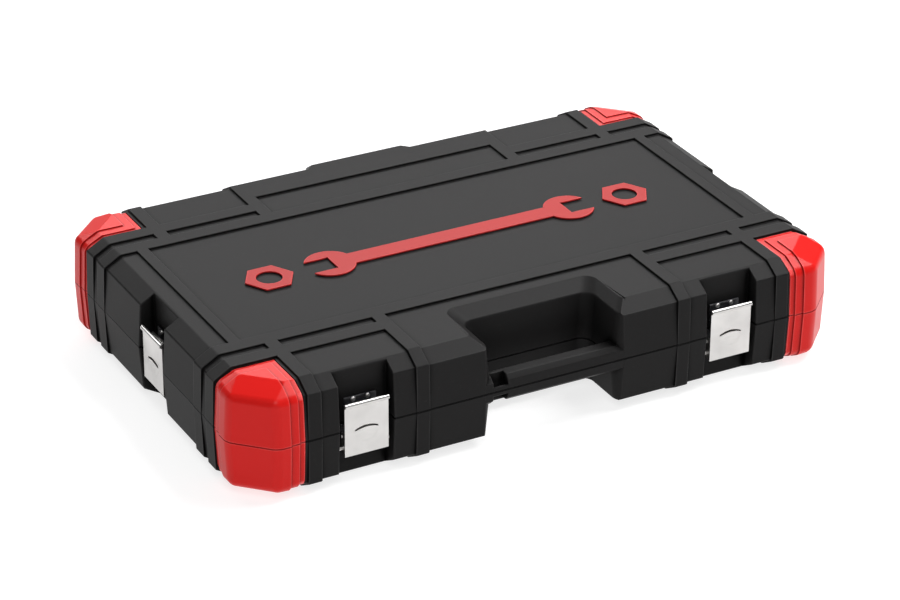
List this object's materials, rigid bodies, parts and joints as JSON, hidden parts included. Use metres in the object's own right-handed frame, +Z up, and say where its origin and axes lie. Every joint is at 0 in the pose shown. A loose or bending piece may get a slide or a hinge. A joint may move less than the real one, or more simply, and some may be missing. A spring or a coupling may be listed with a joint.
{
  "type": "socket wrench set in case",
  "caption": "Flat two-part plastic carrying case with a handle opening, corner caps and lever latches, holding ratchets, extension bars and sockets in a tray.",
  "frame": {"origin": "centre of the whole object's box, on the surface the base stands on", "axes": "+X to the right along the handle side, +Y from the handle side to the hinge side, +Z up"},
  "size_m": [0.432, 0.292, 0.076],
  "materials": {
    "black_shell": "satin, fine moulded grain",
    "red_cap": "satin",
    "emblem_red": "satin",
    "nickel_steel": "satin nickel plate",
    "tray_plastic": "matte",
    "foam": "open foam",
    "red_grip": "satin",
    "dark_steel": "black oxide",
    "chrome_steel": "polished chrome plate"
  },
  "bodies": {
    "base": {"base_shell": "black_shell", "base_cap_front_left": "red_cap", "base_cap_front_right": "red_cap", "base_cap_rear_left": "red_cap", "base_cap_rear_right": "red_cap", "hinge_pin_left": "nickel_steel", "hinge_pin_right": "nickel_steel", "latch_bracket_front_left": "nickel_steel", "latch_pin_front_left": "nickel_steel", "latch_bracket_front_right": "nickel_steel", "latch_pin_front_right": "nickel_steel", "latch_bracket_left": "nickel_steel", "latch_pin_left": "nickel_steel", "latch_bracket_right": "nickel_steel", "latch_pin_right": "nickel_steel", "tool_tray": "tray_plastic", "ratchet_body_half_inch": "chrome_steel", "ratchet_grip_half_inch": "red_grip", "ratchet_body_quarter_inch": "chrome_steel", "ratchet_grip_quarter_inch": "red_grip", "extension_bar_long": "chrome_steel", "extension_bar_short": "chrome_steel", "socket_half_32": "chrome_steel", "socket_half_27": "chrome_steel", "socket_half_24": "chrome_steel", "socket_half_21": "chrome_steel", "socket_half_19": "chrome_steel", "socket_half_17": "chrome_steel", "socket_quarter_14": "chrome_steel", "socket_quarter_13": "chrome_steel", "socket_quarter_12": "chrome_steel", "socket_quarter_11": "chrome_steel", "socket_quarter_10": "chrome_steel"},
    "lid": {"lid_shell": "black_shell", "lid_cap_front_left": "red_cap", "lid_cap_front_right": "red_cap", "lid_cap_rear_left": "red_cap", "lid_cap_rear_right": "red_cap", "latch_keeper_front_left": "nickel_steel", "latch_keeper_front_right": "nickel_steel", "latch_keeper_left": "nickel_steel", "latch_keeper_right": "nickel_steel", "emblem_spanner": "emblem_red", "emblem_nut_left": "emblem_red", "emblem_nut_right": "emblem_red", "lid_foam": "foam"},
    "lever_front_left": {"latch_lever_front_left": "nickel_steel"},
    "hook_front_left": {"latch_hook_front_left": "nickel_steel"},
    "lever_front_right": {"latch_lever_front_right": "nickel_steel"},
    "hook_front_right": {"latch_hook_front_right": "nickel_steel"},
    "lever_left": {"latch_lever_left": "nickel_steel"},
    "hook_left": {"latch_hook_left": "nickel_steel"},
    "lever_right": {"latch_lever_right": "nickel_steel"},
    "hook_right": {"latch_hook_right": "nickel_steel"},
    "drive_half_inch": {"ratchet_drive_square_half_inch": "chrome_steel"},
    "selector_half_inch": {"ratchet_selector_half_inch": "dark_steel"},
    "button_half_inch": {"ratchet_release_button_half_inch": "chrome_steel"},
    "drive_quarter_inch": {"ratchet_drive_square_quarter_inch": "chrome_steel"},
    "selector_quarter_inch": {"ratchet_selector_quarter_inch": "dark_steel"},
    "button_quarter_inch": {"ratchet_release_button_quarter_inch": "chrome_steel"}
  },
  "joints": [
    {"name": "lid_hinge", "type": "hinge", "parent": "base", "child": "lid", "pos_m": [0, 0.1425, 0.038], "axis": [-1, 0, 0], "range_deg": [0, 180]},
    {"name": "lever_front_left_pivot", "type": "hinge", "parent": "base", "child": "lever_front_left", "pos_m": [-0.1315, -0.138, 0.023], "axis": [1, 0, 0], "range_deg": [0, 110]},
    {"name": "hook_front_left_pivot", "type": "hinge", "parent": "lever_front_left", "child": "hook_front_left", "pos_m": [-0.1315, -0.1382, 0.0315], "axis": [1, 0, 0], "range_deg": [-40, 0]},
    {"name": "lever_front_right_pivot", "type": "hinge", "parent": "base", "child": "lever_front_right", "pos_m": [0.1295, -0.138, 0.023], "axis": [1, 0, 0], "range_deg": [0, 110]},
    {"name": "hook_front_right_pivot", "type": "hinge", "parent": "lever_front_right", "child": "hook_front_right", "pos_m": [0.1295, -0.1382, 0.0315], "axis": [1, 0, 0], "range_deg": [-40, 0]},
    {"name": "lever_left_pivot", "type": "hinge", "parent": "base", "child": "lever_left", "pos_m": [-0.2083, -0.007, 0.023], "axis": [0, -1, 0], "range_deg": [0, 110]},
    {"name": "hook_left_pivot", "type": "hinge", "parent": "lever_left", "child": "hook_left", "pos_m": [-0.2085, -0.007, 0.0315], "axis": [0, -1, 0], "range_deg": [-40, 0]},
    {"name": "lever_right_pivot", "type": "hinge", "parent": "base", "child": "lever_right", "pos_m": [0.2083, -0.007, 0.023], "axis": [0, 1, 0], "range_deg": [0, 110]},
    {"name": "hook_right_pivot", "type": "hinge", "parent": "lever_right", "child": "hook_right", "pos_m": [0.2085, -0.007, 0.0315], "axis": [0, 1, 0], "range_deg": [-40, 0]},
    {"name": "drive_half_inch_turn", "type": "hinge", "parent": "base", "child": "drive_half_inch", "pos_m": [-0.158, -0.065, 0.028], "axis": [0, 0, 1], "continuous": true},
    {"name": "selector_half_inch_turn", "type": "hinge", "parent": "base", "child": "selector_half_inch", "pos_m": [-0.158, -0.065, 0.036], "axis": [0, 0, 1], "range_deg": [0, 50]},
    {"name": "button_half_inch_press", "type": "slide", "parent": "base", "child": "button_half_inch", "axis": [0, 0, -1], "range_m": [0, 0.0012], "stiffness_N_per_m": 400, "springref_m": -0.0005},
    {"name": "drive_quarter_inch_turn", "type": "hinge", "parent": "base", "child": "drive_quarter_inch", "pos_m": [-0.172, 0.011, 0.028], "axis": [0, 0, 1], "continuous": true},
    {"name": "selector_quarter_inch_turn", "type": "hinge", "parent": "base", "child": "selector_quarter_inch", "pos_m": [-0.172, 0.011, 0.036], "axis": [0, 0, 1], "range_deg": [0, 50]},
    {"name": "button_quarter_inch_press", "type": "slide", "parent": "base", "child": "button_quarter_inch", "axis": [0, 0, -1], "range_m": [0, 0.0012], "stiffness_N_per_m": 400, "springref_m": -0.0005}
  ],
  "couplings": [
    {"joint": "hook_front_left_pivot", "follows": "lever_front_left_pivot", "ratio": -0.36},
    {"joint": "hook_front_right_pivot", "follows": "lever_front_right_pivot", "ratio": -0.36},
    {"joint": "hook_left_pivot", "follows": "lever_left_pivot", "ratio": -0.36},
    {"joint": "hook_right_pivot", "follows": "lever_right_pivot", "ratio": -0.36}
  ]
}
